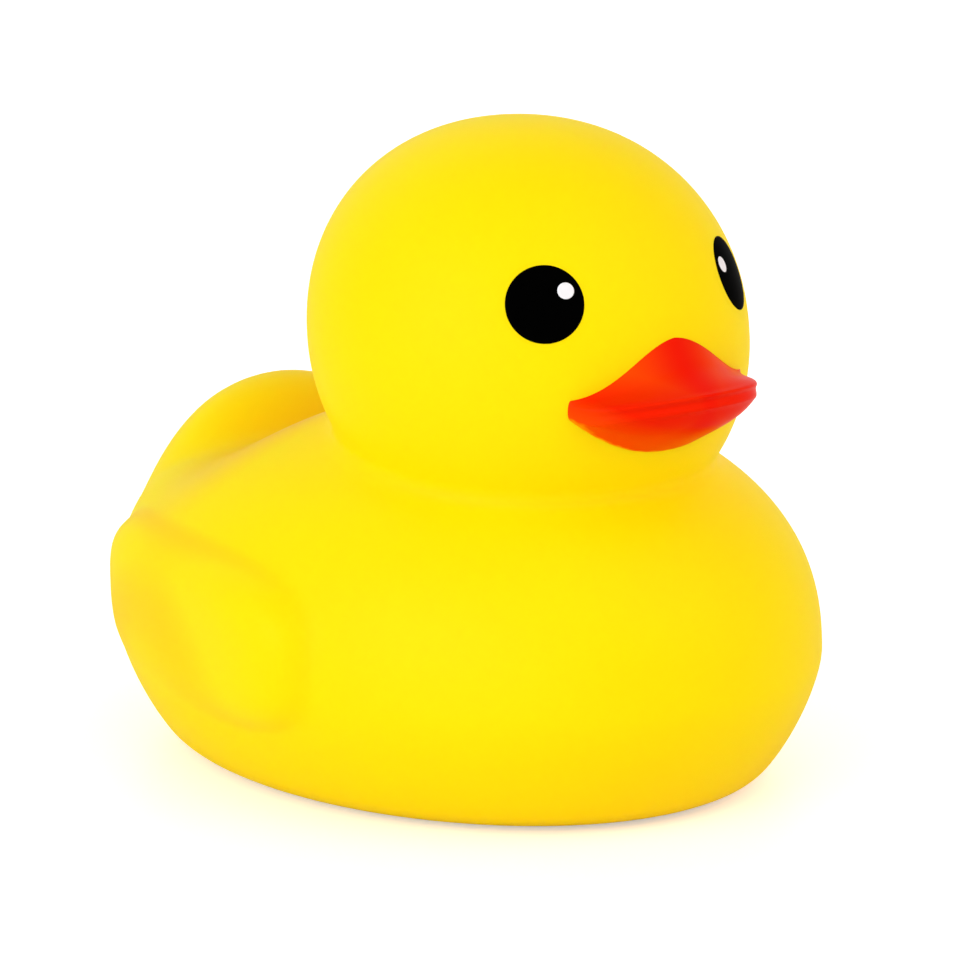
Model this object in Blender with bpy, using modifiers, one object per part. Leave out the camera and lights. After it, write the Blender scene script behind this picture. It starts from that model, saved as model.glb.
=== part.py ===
"""Rubber duck, a vinyl bath toy. Metres, +Z up; the duck faces -Y and rests on Z = 0.

The skin is one hollow moulding: head, bill, wings and tail are forms of the same wall. Each
form is a field, a signed distance that is negative inside, and the skin is where their smooth
union is zero, so a few radii and centres drive the whole shape. The painted bill and eyes are
thin sheets let into the skin, and the squeaker is pressed into the base.
"""

import math

import bmesh
import bpy
import numpy as np
from mathutils import Vector

MM = 0.001
GAP = 0.3 * MM  # clearance between pieces that touch

# Skin
WALL = 2.0 * MM
SKIN_CELL = 3.3 * MM  # grid that the skin's net of quads is drawn in
CAVITY_CELL = 5.5 * MM
CREASE_BAND = 4.0 * MM  # the net is twice as fine this near to the neck's crease
GRID_REACH = np.array([48.0, 60.0, 90.0]) * MM  # half width, half length and full height

# Head
HEAD_CENTRE = np.array([0.0, -14.0, 57.9]) * MM
HEAD_RADIUS = 28.3 * MM
HEAD_RISE = 27.6 * MM  # from the widest level to the crown
HEAD_DROP = 27.7 * MM  # from the widest level down, inside the neck
HEAD_LEAN = 0.075  # how far the crown leans back, for each metre up
CROWN_ROUNDNESS = 2.12  # 2 is an ellipse, more is squarer
NECK_FILLET = 6.0 * MM

# Body
BODY_CENTRE = np.array([0.0, 0.0, 16.8]) * MM
BODY_HALF_WIDTH = 41.0 * MM
BODY_HALF_LENGTH = 53.5 * MM
BODY_RISE = 30.5 * MM
BACK_ROUNDNESS = 2.38
BELLY_ROUNDNESS = 1.39
BASE_HALF_WIDTH = 32.2 * MM  # the flat that it rests on
BASE_HALF_LENGTH = 43.3 * MM
BASE_FILLET = 3.0 * MM

# Saddle, the dip across the back between head and tail
SADDLE_Y = 30.1 * MM
SADDLE_FLOOR = 39.3 * MM
SADDLE_RADIUS = 14.4 * MM
SADDLE_FILLET = 6.0 * MM

# Tail
TAIL_CENTRE = np.array([0.0, 38.3, 28.4]) * MM
TAIL_RADII = np.array([19.5, 12.0, 16.4]) * MM
TAIL_FILLET = 4.0 * MM

# Wings, one on each side
WING_CENTRE = np.array([32.4, 9.8, 21.2]) * MM
WING_RADII = np.array([7.8, 27.0, 10.2]) * MM
WING_YAW = math.radians(13.0)  # the rear end turns in
WING_TILT = math.radians(8.0)  # the upper edge stands out, the lower one flows in
WING_ROUNDNESS = 3.0
WING_FILLET = 2.5 * MM

# Bill, seen from the centre of the head: across, forward and up
BILL_HALF_WIDTH = 14.2 * MM
BILL_REACH = 10.7 * MM  # from the corners to the front of the lips
BILL_PEAK = 3.4 * MM  # top edge on the forehead, above the head's centre
BILL_CORNER_TOP = -3.1 * MM
BILL_CORNER_FOOT = -5.3 * MM
BILL_CHIN = -11.0 * MM
MOUTH_LEVEL = -5.4 * MM
MOUTH_BOW = 1.8 * MM  # the mouth rises this much at the front
LIP_HALF_HEIGHT = 1.45 * MM
LIP_CORNER_HALF_HEIGHT = 0.9 * MM
MOUTH_GROOVE = 0.22 * MM
BILL_BLEND = 0.5  # near its corners the bill eases into the head
BILL_ROOT = 1.6 * MM  # how far the solid part of the bill goes into the head's wall
BILL_COLUMNS = 26
BILL_ROWS = 16

# Paint
PAINT_DEPTH = 0.38 * MM
EYE_RADIUS = 4.97 * MM
EYE_TURN = math.radians(35.2)  # round the head from straight ahead
EYE_RISE = math.radians(18.2)
GLINT_RADIUS = 1.15 * MM
GLINT_TURN = math.radians(30.1)
GLINT_RISE = math.radians(21.5)
EYE_ROWS = 9
GLINT_ROWS = 4

# Squeaker
SEAT_RADIUS = 10.0 * MM  # thick ring of the base round the squeaker
SEAT_HEIGHT = 4.5 * MM
HOLE_RADIUS = 6.3 * MM
RECESS_RADIUS = 8.8 * MM
RECESS_DEPTH = 1.3 * MM
FLANGE_RADIUS = 8.5 * MM
FLANGE_FOOT = 0.3 * MM  # the flange stays clear of the floor
FLANGE_TOP = 1.0 * MM
BARREL_RADIUS = 6.0 * MM
BARREL_TOP = 10.0 * MM
AIR_RADIUS = 2.0 * MM
CHAMBER_RADIUS = 4.8 * MM
CHAMBER_FLOOR = 5.5 * MM
REED_SIZE = Vector((8.4, 3.6, 0.3)) * MM
CAP_RADIUS = 4.5 * MM
CAP_HEIGHT = 2.4 * MM
ROUND_STEPS = 40


def clear_scene():
    for obj in list(bpy.data.objects):
        bpy.data.objects.remove(obj, do_unlink=True)


def new_collection(name):
    collection = bpy.data.collections.new(name)
    bpy.context.scene.collection.children.link(collection)
    return collection


def new_material(name, colour, roughness):
    material = bpy.data.materials.new(name)
    material.use_nodes = True
    shader = material.node_tree.nodes["Principled BSDF"]
    shader.inputs["Base Color"].default_value = (*colour, 1.0)
    shader.inputs["Roughness"].default_value = roughness
    shader.inputs["Metallic"].default_value = 0.0
    return material


def new_object(name, mesh, collection, material=None):
    """Makes an object from a bmesh, which it frees."""
    data = bpy.data.meshes.new(name)
    bmesh.ops.recalc_face_normals(mesh, faces=mesh.faces)
    mesh.to_mesh(data)
    mesh.free()
    data.shade_smooth()
    data.set_sharp_from_angle(angle=math.radians(40))
    obj = bpy.data.objects.new(name, data)
    collection.objects.link(obj)
    if material:
        data.materials.append(material)
    return obj


def helper(name, mesh, cutters):
    """A cutter or a filler: it shapes a piece and isn't one itself."""
    obj = new_object(name, mesh, cutters)
    obj.hide_render = True
    obj.display_type = "WIRE"
    return obj


def combine(obj, other, operation):
    boolean = obj.modifiers.new(other.name, "BOOLEAN")
    boolean.object = other
    boolean.operation = operation
    boolean.solver = "EXACT"


# Fields of the skin's forms, for an array of points, one in each row


def smooth_step(share):
    share = min(share, 1.0)
    return share * share * (3 - 2 * share)


def smooth_union(first, second, fillet):
    near = np.maximum(fillet - np.abs(first - second), 0.0) / fillet
    return np.minimum(first, second) - near**2 * fillet / 4


def head_reach(x, y, z):
    """1 on the head's surface, and in proportion nearer its centre or farther."""
    across = np.hypot(x, y - HEAD_LEAN * z) / HEAD_RADIUS
    power = CROWN_ROUNDNESS
    crown = (across**power + (np.maximum(z, 0) / HEAD_RISE) ** power) ** (1 / power)
    return np.where(z > 0, crown, np.hypot(across, z / HEAD_DROP))


def radial_distance(from_centre, reach):
    """Distance to a form whose surface is where reach is 1, measured towards its centre."""
    return np.linalg.norm(from_centre, axis=1) * (1 - 1 / np.maximum(reach, 1e-6))


def head_field(points):
    from_centre = points - HEAD_CENTRE
    return radial_distance(from_centre, head_reach(*from_centre.T))


def body_field(points):
    x, y, z = (points - BODY_CENTRE).T
    plan = np.hypot(x / BODY_HALF_WIDTH, y / BODY_HALF_LENGTH)
    power = BACK_ROUNDNESS
    back = (plan**power + (np.maximum(z, 0) / BODY_RISE) ** power) ** (1 / power)
    power = BELLY_ROUNDNESS
    swell = (1 - np.clip(-z / BODY_CENTRE[2], 0, 1) ** power) ** (1 / power)
    half_width = BASE_HALF_WIDTH + (BODY_HALF_WIDTH - BASE_HALF_WIDTH) * swell
    half_length = BASE_HALF_LENGTH + (BODY_HALF_LENGTH - BASE_HALF_LENGTH) * swell
    belly = (np.hypot(x / half_width, y / half_length) - 1) * half_width
    return np.where(z > 0, radial_distance(points - BODY_CENTRE, back), belly)


def saddle_field(points):
    """A roller across the back, which the body is pressed in by."""
    _, y, z = points.T
    return np.hypot(y - SADDLE_Y, z - SADDLE_FLOOR - SADDLE_RADIUS) - SADDLE_RADIUS


def tail_field(points):
    from_centre = points - TAIL_CENTRE
    return radial_distance(from_centre, np.linalg.norm(from_centre / TAIL_RADII, axis=1))


def wing_field(points):
    """Both wings at once, because the distance from the middle plane has no sign."""
    x, y, z = (np.abs(points) * [1, 0, 0] + points * [0, 1, 1] - WING_CENTRE).T
    out = x * math.cos(WING_YAW) + y * math.sin(WING_YAW)
    back = y * math.cos(WING_YAW) - x * math.sin(WING_YAW)
    tilted_out = out * math.cos(WING_TILT) - z * math.sin(WING_TILT)
    tilted_up = z * math.cos(WING_TILT) + out * math.sin(WING_TILT)
    from_centre = np.column_stack((tilted_out, back, tilted_up))
    shares = np.abs(from_centre / WING_RADII) ** WING_ROUNDNESS
    return radial_distance(from_centre, shares.sum(axis=1) ** (1 / WING_ROUNDNESS))


def skin_field(points):
    field = -smooth_union(-body_field(points), saddle_field(points), SADDLE_FILLET)
    field = smooth_union(field, tail_field(points), TAIL_FILLET)
    field = smooth_union(field, wing_field(points), WING_FILLET)
    field = smooth_union(field, head_field(points), NECK_FILLET)
    return -smooth_union(-field, points[:, 2], BASE_FILLET)


def pulled(points, depth):
    """Points near the surface moved onto it, down or up the field's slope."""
    step = 0.01 * MM
    for _ in range(4):
        value = skin_field(points) + depth
        ahead = [skin_field(points + way) - skin_field(points - way) for way in step * np.eye(3)]
        slope = np.column_stack(ahead) / (2 * step)
        points = points - slope * (value / (slope**2).sum(axis=1))[:, None]
    return points


def skin_form(cell, depth):
    """The skin's surface, or one at a depth inside it, as a net of quads.

    Every grid cell that the surface passes through holds one vertex, and each grid edge that it
    crosses is ringed by the quad between the four cells round that edge.
    """
    half = np.ceil(GRID_REACH / cell)
    first = np.array([-half[0], -half[1], -0.5]) * cell
    counts = (2 * int(half[0]) + 1, 2 * int(half[1]) + 1, int(half[2]) + 1)
    nodes = np.indices(counts).reshape(3, -1).T
    values = (skin_field(first + nodes * cell) + depth).reshape(counts)
    total, crossings, quads = np.zeros((*counts, 3)), np.zeros(counts), []
    for axis, unit in enumerate(np.eye(3, dtype=int)):
        following = np.roll(values, -1, axis)
        edges = np.argwhere((values < 0) != (following < 0))
        start, end = values[tuple(edges.T)], following[tuple(edges.T)]
        spots = first + (edges + (start / (start - end))[:, None] * unit) * cell
        right, up = np.roll(unit, 1), np.roll(unit, 2)
        ring = [edges - right - up, edges - up, edges, edges - right]
        quads.append(np.stack(ring, axis=1))
        for cells in ring:
            np.add.at(total, tuple(cells.T), spots)
            np.add.at(crossings, tuple(cells.T), 1)
    filled = np.argwhere(crossings)
    number = np.zeros(counts, int)
    number[tuple(filled.T)] = np.arange(len(filled))
    means = total[tuple(filled.T)] / crossings[tuple(filled.T)][:, None]
    mesh = bmesh.new()
    verts = [mesh.verts.new(point) for point in pulled(means, depth)]
    for quad in np.concatenate(quads):
        mesh.faces.new([verts[number[tuple(place)]] for place in quad])
    even_out(mesh, depth)
    return mesh


def even_out(mesh, depth):
    """Halves the quads along the neck's crease, then spaces all vertices evenly on the surface."""
    points = np.array([vert.co for vert in mesh.verts])
    creased = np.abs(head_field(points) - body_field(points)) < CREASE_BAND
    chosen = {vert for vert, near in zip(mesh.verts, creased) if near}
    edges = [edge for edge in mesh.edges if chosen.issuperset(edge.verts)]
    bmesh.ops.subdivide_edges(mesh, edges=edges, cuts=1, use_grid_fill=True)
    for _ in range(6):
        points = np.array([vert.co for vert in mesh.verts])
        mesh.verts.index_update()
        ends = np.array([[vert.index for vert in edge.verts] for edge in mesh.edges])
        ends = np.concatenate((ends, ends[:, ::-1]))
        sums, counts = np.zeros_like(points), np.bincount(ends[:, 0])
        np.add.at(sums, ends[:, 0], points[ends[:, 1]])
        points = pulled((points + sums / counts[:, None]) / 2, depth)
        points[np.abs(points[:, 2] - depth) < 0.01 * MM, 2] = depth
        for vert, point in zip(mesh.verts, points):
            vert.co = point


# Surfaces that lie on the head, each a function of a grid point (s, t) from -1 to 1


def head_forward(across, up):
    """How far the head reaches forward of its centre, at a place across and up."""
    rise, power = (HEAD_RISE, CROWN_ROUNDNESS) if up > 0 else (HEAD_DROP, 2)
    radius = HEAD_RADIUS * (1 - abs(up / rise) ** power) ** (1 / power)
    return math.sqrt(radius**2 - across**2) - HEAD_LEAN * up


def bill_section(turn, depth, groove, margin):
    """Points (forward, up) down the bill, from its top edge over the lips to the chin.

    turn runs from -90 degrees at one corner to 90 at the other, depth sinks the surface into
    the bill, and margin widens its outline.
    """
    across = (BILL_HALF_WIDTH + margin) * math.sin(turn)
    front = math.cos(turn)
    share = abs(math.sin(turn))
    top = BILL_PEAK + (BILL_CORNER_TOP - BILL_PEAK) * share + margin
    foot = BILL_CHIN + (BILL_CORNER_FOOT - BILL_CHIN) * share**2.3 - margin
    mouth = MOUTH_LEVEL + MOUTH_BOW * front
    half = LIP_CORNER_HALF_HEIGHT + (LIP_HALF_HEIGHT - LIP_CORNER_HALF_HEIGHT) * front
    half -= 0.7 * depth
    lips = head_forward(BILL_HALF_WIDTH, MOUTH_LEVEL) + BILL_REACH * front - depth
    edge = Vector((head_forward(across, top) - depth, top))
    chin = Vector((head_forward(across, foot) - depth, foot))
    lip_top = Vector((lips - 0.9 * MM * front, mouth + half))
    lip_foot = Vector((lips - 1.0 * MM * front, mouth - half))
    slope = Vector((edge.x + 0.38 * (lip_top.x - edge.x), edge.y + 0.62 * (lip_top.y - edge.y)))
    throat = lip_foot.lerp(chin, 0.5) + Vector((0.3, -0.3)) * MM * front
    bulging = [
        edge,
        slope,
        lip_top,
        Vector((lips - 0.1 * MM * front, mouth + 0.55 * half)),
        Vector((lips - groove * front, mouth)),
        Vector((lips - 0.2 * MM * front, mouth - 0.55 * half)),
        lip_foot,
        throat,
        chin,
    ]
    lift = smooth_step(front / BILL_BLEND)
    section = []
    for step, point in enumerate(bulging):
        up = top + (foot - top) * step / (len(bulging) - 1)
        on_head = Vector((head_forward(across, up) - depth, up))
        section.append(on_head.lerp(point, lift))
    return section


def spline_point(points, share):
    """A point on the smooth curve through a list of points, share running from 0 to 1."""
    place = share * (len(points) - 1)
    start = min(int(place), len(points) - 2)
    part = place - start
    before = points[max(start - 1, 0)]
    first, second = points[start], points[start + 1]
    after = points[min(start + 2, len(points) - 1)]
    return (
        2 * first
        + (second - before) * part
        + (2 * before - 5 * first + 4 * second - after) * part**2
        + (3 * first - 3 * second + after - before) * part**3
    ) / 2


def bill_surface(depth, groove=0.0, rim=0.0):
    """The bill's outside, or a surface sunk into it, with the edge of its outline moved out."""

    def place(s, t):
        turn = s * math.pi / 2
        margin = rim if max(abs(s), abs(t)) > 0.999 else 0.0
        section = bill_section(turn, depth, groove, margin)
        forward, up = spline_point(section, (1 - t) / 2)
        inward = depth * math.sin(turn) * smooth_step(math.cos(turn) / BILL_BLEND)
        across = (BILL_HALF_WIDTH + margin) * math.sin(turn) - inward * math.sqrt(1 - t * t)
        return Vector(HEAD_CENTRE) + Vector((across, -forward, up))

    return place


def bill_back(s, t):
    """The bill's outline sunk into the wall of the head, to close the block behind it."""
    turn = s * math.pi / 2
    section = bill_section(turn, 0.0, 0.0, 0.0)
    up = section[-1].y + (section[0].y - section[-1].y) * (t + 1) / 2
    across = BILL_HALF_WIDTH * math.sin(turn)
    forward = head_forward(across, up) - BILL_ROOT
    return Vector(HEAD_CENTRE) + Vector((across, -forward, up))


def head_point(turn, rise):
    """Where a line from the head's centre leaves it: turn from straight ahead, rise upwards."""
    out = math.cos(rise)
    along = Vector((out * math.sin(turn), -out * math.cos(turn), math.sin(rise)))
    return Vector(HEAD_CENTRE) + along / float(head_reach(*along))


def disc_surface(turn, rise, radius, depth):
    """A round patch of the head's surface, or one sunk below it."""
    centre = head_point(turn, rise)
    sideways = (head_point(turn + 0.01, rise) - head_point(turn - 0.01, rise)).normalized()
    upwards = (head_point(turn, rise + 0.01) - head_point(turn, rise - 0.01)).normalized()

    def place(s, t):
        right = radius * s * math.sqrt(1 - t * t / 2)
        above = radius * t * math.sqrt(1 - s * s / 2)
        spot = centre + sideways * right + upwards * above - Vector(HEAD_CENTRE)
        return Vector(HEAD_CENTRE) + spot / float(head_reach(*spot)) - spot.normalized() * depth

    return place


def sheet(columns, rows, outside, inside):
    """A closed sheet between two surfaces, each a function of a grid point (s, t)."""
    mesh = bmesh.new()
    bmesh.ops.create_grid(mesh, x_segments=columns, y_segments=rows, size=1.0)
    front = set(mesh.verts)
    bmesh.ops.extrude_face_region(mesh, geom=mesh.faces[:], use_keep_orig=True)
    for vert in mesh.verts:
        surface = outside if vert in front else inside
        vert.co = surface(vert.co.x, vert.co.y)
    return mesh


def disc(turn, rise, radius, rows, outside, inside):
    """A round sheet that follows the head, between two depths."""
    places = [disc_surface(turn, rise, radius, depth) for depth in (outside, inside)]
    return sheet(rows, rows, *places)


def cylinder(radius, foot, top):
    mesh = bmesh.new()
    bmesh.ops.create_cone(
        mesh,
        cap_ends=True,
        segments=ROUND_STEPS,
        radius1=radius,
        radius2=radius,
        depth=top - foot,
    )
    bmesh.ops.translate(mesh, verts=mesh.verts, vec=(0, 0, (foot + top) / 2))
    return mesh


def turned(name, profile, collection, material):
    """A solid of revolution about Z, from a closed profile of (radius, height) points."""
    mesh = bmesh.new()
    verts = [mesh.verts.new((radius, 0, height)) for radius, height in profile]
    for start, vert in enumerate(verts):
        mesh.edges.new((vert, verts[(start + 1) % len(verts)]))
    obj = new_object(name, mesh, collection, material)
    screw = obj.modifiers.new("Turn", "SCREW")
    screw.steps = ROUND_STEPS
    screw.render_steps = ROUND_STEPS
    screw.use_merge_vertices = True
    screw.merge_threshold = 0.01 * MM
    return obj


def make_cavity(cutters):
    """The hollow inside, less the thick seat that the squeaker is pressed into."""
    cavity = helper("cavity", skin_form(CAVITY_CELL, WALL), cutters)
    seat = helper("squeaker_seat", cylinder(SEAT_RADIUS, -1 * MM, SEAT_HEIGHT), cutters)
    combine(cavity, seat, "DIFFERENCE")
    return cavity


def make_body(parts, cutters, material):
    body = new_object("duck_body", skin_form(SKIN_CELL, 0.0), parts, material)
    block = sheet(BILL_COLUMNS, BILL_ROWS, bill_surface(GAP), bill_back)
    combine(body, helper("bill_block", block, cutters), "UNION")
    above, below = -2 * GAP, PAINT_DEPTH + GAP
    outside, inside = bill_surface(above, rim=GAP), bill_surface(below + GAP, rim=GAP)
    pocket = sheet(BILL_COLUMNS, BILL_ROWS, outside, inside)
    combine(body, helper("bill_pocket", pocket, cutters), "DIFFERENCE")
    for side, label in ((-1, "right"), (1, "left")):
        hollow = disc(side * EYE_TURN, EYE_RISE, EYE_RADIUS + GAP, EYE_ROWS, above, below)
        combine(body, helper("eye_pocket_" + label, hollow, cutters), "DIFFERENCE")
    combine(body, make_cavity(cutters), "DIFFERENCE")
    recess = helper("flange_recess", cylinder(RECESS_RADIUS, -1 * MM, RECESS_DEPTH), cutters)
    combine(body, recess, "DIFFERENCE")
    hole = helper("squeaker_hole", cylinder(HOLE_RADIUS, -2 * MM, SEAT_HEIGHT + 1 * MM), cutters)
    combine(body, hole, "DIFFERENCE")
    return body


def make_bill_paint(parts, material):
    outside, inside = bill_surface(0.0, groove=MOUTH_GROOVE), bill_surface(PAINT_DEPTH)
    new_object("bill_paint", sheet(BILL_COLUMNS, BILL_ROWS, outside, inside), parts, material)


def make_eye(side, label, parts, cutters, black, white):
    """One printed eye: a black disc with a round window, and the white glint in it."""
    patch = disc(side * EYE_TURN, EYE_RISE, EYE_RADIUS, EYE_ROWS, 0.0, PAINT_DEPTH)
    eye = new_object("eye_paint_" + label, patch, parts, black)
    turn = side * GLINT_TURN
    above, below = -2 * GAP, PAINT_DEPTH + GAP
    window = disc(turn, GLINT_RISE, GLINT_RADIUS + GAP, GLINT_ROWS, above, below)
    combine(eye, helper("glint_window_" + label, window, cutters), "DIFFERENCE")
    glint = disc(turn, GLINT_RISE, GLINT_RADIUS, GLINT_ROWS, 0.0, PAINT_DEPTH)
    new_object("glint_" + label, glint, parts, white)


def make_squeaker(parts, plastic, metal):
    """The whistle in the base: air passes the reed, which is held down by the cap."""
    housing = [
        (AIR_RADIUS, FLANGE_FOOT),
        (AIR_RADIUS, CHAMBER_FLOOR),
        (CHAMBER_RADIUS, CHAMBER_FLOOR),
        (CHAMBER_RADIUS, BARREL_TOP),
        (BARREL_RADIUS - 0.5 * MM, BARREL_TOP),
        (BARREL_RADIUS, BARREL_TOP - 0.8 * MM),
        (BARREL_RADIUS, FLANGE_TOP),
        (FLANGE_RADIUS - 0.3 * MM, FLANGE_TOP),
        (FLANGE_RADIUS, FLANGE_TOP - 0.3 * MM),
        (FLANGE_RADIUS, FLANGE_FOOT),
    ]
    turned("squeaker_housing", housing, parts, plastic)
    reed = bmesh.new()
    bmesh.ops.create_cube(reed, size=1.0)
    bmesh.ops.scale(reed, verts=reed.verts, vec=REED_SIZE)
    reed_foot = CHAMBER_FLOOR + GAP
    bmesh.ops.translate(reed, verts=reed.verts, vec=(0, 0, reed_foot + REED_SIZE.z / 2))
    new_object("squeaker_reed", reed, parts, metal)
    cap_foot = reed_foot + REED_SIZE.z + GAP
    cap = [
        (AIR_RADIUS, cap_foot),
        (AIR_RADIUS, cap_foot + CAP_HEIGHT),
        (CAP_RADIUS, cap_foot + CAP_HEIGHT),
        (CAP_RADIUS, cap_foot),
    ]
    turned("squeaker_cap", cap, parts, plastic)


def main():
    clear_scene()
    parts = new_collection("rubber_duck")
    cutters = new_collection("cutters")
    vinyl = new_material("yellow_vinyl", (0.99, 0.81, 0.01), 0.45)
    orange = new_material("orange_paint", (0.93, 0.06, 0.002), 0.25)
    black = new_material("black_paint", (0.003, 0.003, 0.003), 0.15)
    white = new_material("white_paint", (0.85, 0.87, 0.9), 0.25)
    plastic = new_material("white_plastic", (0.8, 0.8, 0.77), 0.4)
    metal = new_material("reed_brass", (0.7, 0.5, 0.25), 0.3)
    make_body(parts, cutters, vinyl)
    make_bill_paint(parts, orange)
    make_eye(-1, "right", parts, cutters, black, white)
    make_eye(1, "left", parts, cutters, black, white)
    make_squeaker(parts, plastic, metal)


main()
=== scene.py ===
import math

import bmesh
import bpy
import numpy as np
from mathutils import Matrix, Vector


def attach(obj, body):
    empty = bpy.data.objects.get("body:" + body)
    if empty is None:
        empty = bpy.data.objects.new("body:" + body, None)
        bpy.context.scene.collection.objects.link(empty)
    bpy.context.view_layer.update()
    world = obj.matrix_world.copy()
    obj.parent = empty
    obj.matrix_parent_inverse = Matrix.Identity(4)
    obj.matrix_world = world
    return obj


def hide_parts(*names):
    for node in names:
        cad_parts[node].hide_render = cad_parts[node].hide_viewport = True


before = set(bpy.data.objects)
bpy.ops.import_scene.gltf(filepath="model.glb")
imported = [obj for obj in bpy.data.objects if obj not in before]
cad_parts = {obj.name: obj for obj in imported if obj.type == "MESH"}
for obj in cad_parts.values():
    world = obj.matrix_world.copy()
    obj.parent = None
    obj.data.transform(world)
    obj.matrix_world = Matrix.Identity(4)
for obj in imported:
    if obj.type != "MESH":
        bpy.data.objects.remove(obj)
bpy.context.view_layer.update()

mm = 0.001
sharpAngle = math.radians(38)  # edges that turn by more than this stay sharp


# Small tools

def hexColour(code):
    channels = [int(code[i:i + 2], 16) / 255 for i in (1, 3, 5)]
    linear = [c / 12.92 if c <= 0.04045 else ((c + 0.055) / 1.055) ** 2.4 for c in channels]
    return (*linear, 1.0)


def patternScale(size):
    # the texture scale at which one cell of a pattern is that many millimetres wide
    return 1 / (size * mm)


def newMaterial(name):
    material = bpy.data.materials.new(name)
    material.use_nodes = True
    tree = material.node_tree
    tree.nodes.clear()
    return material, tree


def addNode(tree, kind, settings=None, links=None):
    # settings: attributes by name, inputs by ("in", socket). links: input socket -> output socket
    node = tree.nodes.new(kind)
    for key, value in (settings or {}).items():
        if isinstance(key, tuple):
            node.inputs[key[1]].default_value = value
        else:
            setattr(node, key, value)
    for socket, source in (links or {}).items():
        tree.links.new(source, node.inputs[socket])
    return node


def addPiece(name, points, faces, material):
    mesh = bpy.data.meshes.new(name)
    mesh.from_pydata([tuple(p * mm) for p in points], [], faces)
    mesh.materials.append(material)
    mesh.shade_smooth()
    piece = bpy.data.objects.new(name, mesh)
    bpy.context.scene.collection.objects.link(piece)
    return piece


def faceOutwards(piece):
    mesh = bmesh.new()
    mesh.from_mesh(piece.data)
    bmesh.ops.recalc_face_normals(mesh, faces=mesh.faces)
    mesh.to_mesh(piece.data)
    mesh.free()


def cutOrJoin(piece, other, operation):
    # applies one exact Boolean and removes the helper
    faceOutwards(piece)
    faceOutwards(other)
    step = piece.modifiers.new("step", "BOOLEAN")
    step.object, step.operation, step.solver = other, operation, "EXACT"
    graph = bpy.context.evaluated_depsgraph_get()
    result = bpy.data.meshes.new_from_object(piece.evaluated_get(graph))
    piece.modifiers.clear()
    old, piece.data = piece.data, result
    bpy.data.meshes.remove(old)
    bpy.data.objects.remove(other, do_unlink=True)


# The skin's form: signed distances in millimetres, negative inside, joined smoothly. The
# wings, the saddle's edge and the crease under the head are fitted closer than in the solids.

skin = {
    "wall": 2.0,
    "cell": 1.0,  # grid that the skin's net of quads is drawn in
    "cavityCell": 3.0,
    "gridReach": (48.0, 60.0, 90.0),  # half width, half length and full height
    "flatWithin": 0.01,  # points this near the base's level are set onto it
}
head = {
    "centre": (0.0, -14.0, 57.9),
    "radius": 28.3,
    "rise": 27.6,
    "drop": 27.7,
    "lean": 0.075,
    "crownRoundness": 2.12,
    "neckFillet": 2.6,
}
body = {
    "centre": (0.0, 0.0, 16.8),
    "halfWidth": 41.0,
    "halfLength": 53.5,
    "rise": 30.5,
    "backRoundness": 2.38,
    "bellyRoundness": 1.39,
    "baseHalfWidth": 32.2,
    "baseHalfLength": 43.3,
    "baseFillet": 3.0,
}
saddle = {"y": 30.1, "floor": 39.3, "radius": 14.4, "fillet": 10.0}
tail = {"centre": (0.0, 38.3, 28.4), "radii": (19.5, 12.0, 16.4), "fillet": 4.0}
wing = {
    "centre": (32.2, 9.8, 21.6),
    "radii": (7.9, 27.0, 11.0),
    "yaw": 13.0,
    "pitch": 1.5,  # the rear end is higher
    "tilt": 3.5,  # the upper edge stands out, the lower one flows in
    "roundness": 3.0,
    "fillet": 2.2,
}


def smoothUnion(a, b, fillet):
    near = np.maximum(fillet - np.abs(a - b), 0) / fillet
    return np.minimum(a, b) - near**2 * fillet / 4


def radialDistance(q, reach):
    return np.linalg.norm(q, axis=1) * (1 - 1 / np.maximum(reach, 1e-6))


def headReach(x, y, z):
    # 1 on the head's surface, and in proportion nearer its centre or farther
    across, k = np.hypot(x, y - head["lean"] * z) / head["radius"], head["crownRoundness"]
    crown = (across**k + (np.maximum(z, 0) / head["rise"]) ** k) ** (1 / k)
    return np.where(z > 0, crown, np.hypot(across, z / head["drop"]))


def headField(p):
    q = p - np.array(head["centre"])
    return radialDistance(q, headReach(*q.T))


def bodyField(p):
    q = p - np.array(body["centre"])
    x, y, z = q.T
    plan = np.hypot(x / body["halfWidth"], y / body["halfLength"])
    k = body["backRoundness"]
    back = (plan**k + (np.maximum(z, 0) / body["rise"]) ** k) ** (1 / k)
    k = body["bellyRoundness"]
    swell = (1 - np.clip(-z / body["centre"][2], 0, 1) ** k) ** (1 / k)
    wide = body["baseHalfWidth"] + (body["halfWidth"] - body["baseHalfWidth"]) * swell
    long = body["baseHalfLength"] + (body["halfLength"] - body["baseHalfLength"]) * swell
    return np.where(z > 0, radialDistance(q, back), (np.hypot(x / wide, y / long) - 1) * wide)


def saddleField(p):
    # a roller across the back, which the body is pressed in by
    y, z = p[:, 1] - saddle["y"], p[:, 2] - saddle["floor"] - saddle["radius"]
    return np.hypot(y, z) - saddle["radius"]


def tailField(p):
    q = p - np.array(tail["centre"])
    return radialDistance(q, np.linalg.norm(q / np.array(tail["radii"]), axis=1))


def wingField(p):
    x, y, z = (np.abs(p) * [1, 0, 0] + p * [0, 1, 1] - np.array(wing["centre"])).T
    yaw, k = math.radians(wing["yaw"]), wing["roundness"]
    u = x * math.cos(yaw) + y * math.sin(yaw)
    v = y * math.cos(yaw) - x * math.sin(yaw)
    pitch, tilt = math.radians(wing["pitch"]), math.radians(wing["tilt"])
    v, z = v * math.cos(pitch) + z * math.sin(pitch), z * math.cos(pitch) - v * math.sin(pitch)
    out, up = u * math.cos(tilt) - z * math.sin(tilt), z * math.cos(tilt) + u * math.sin(tilt)
    q = np.column_stack((out, v, up))
    return radialDistance(q, (np.abs(q / np.array(wing["radii"])) ** k).sum(axis=1) ** (1 / k))


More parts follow.
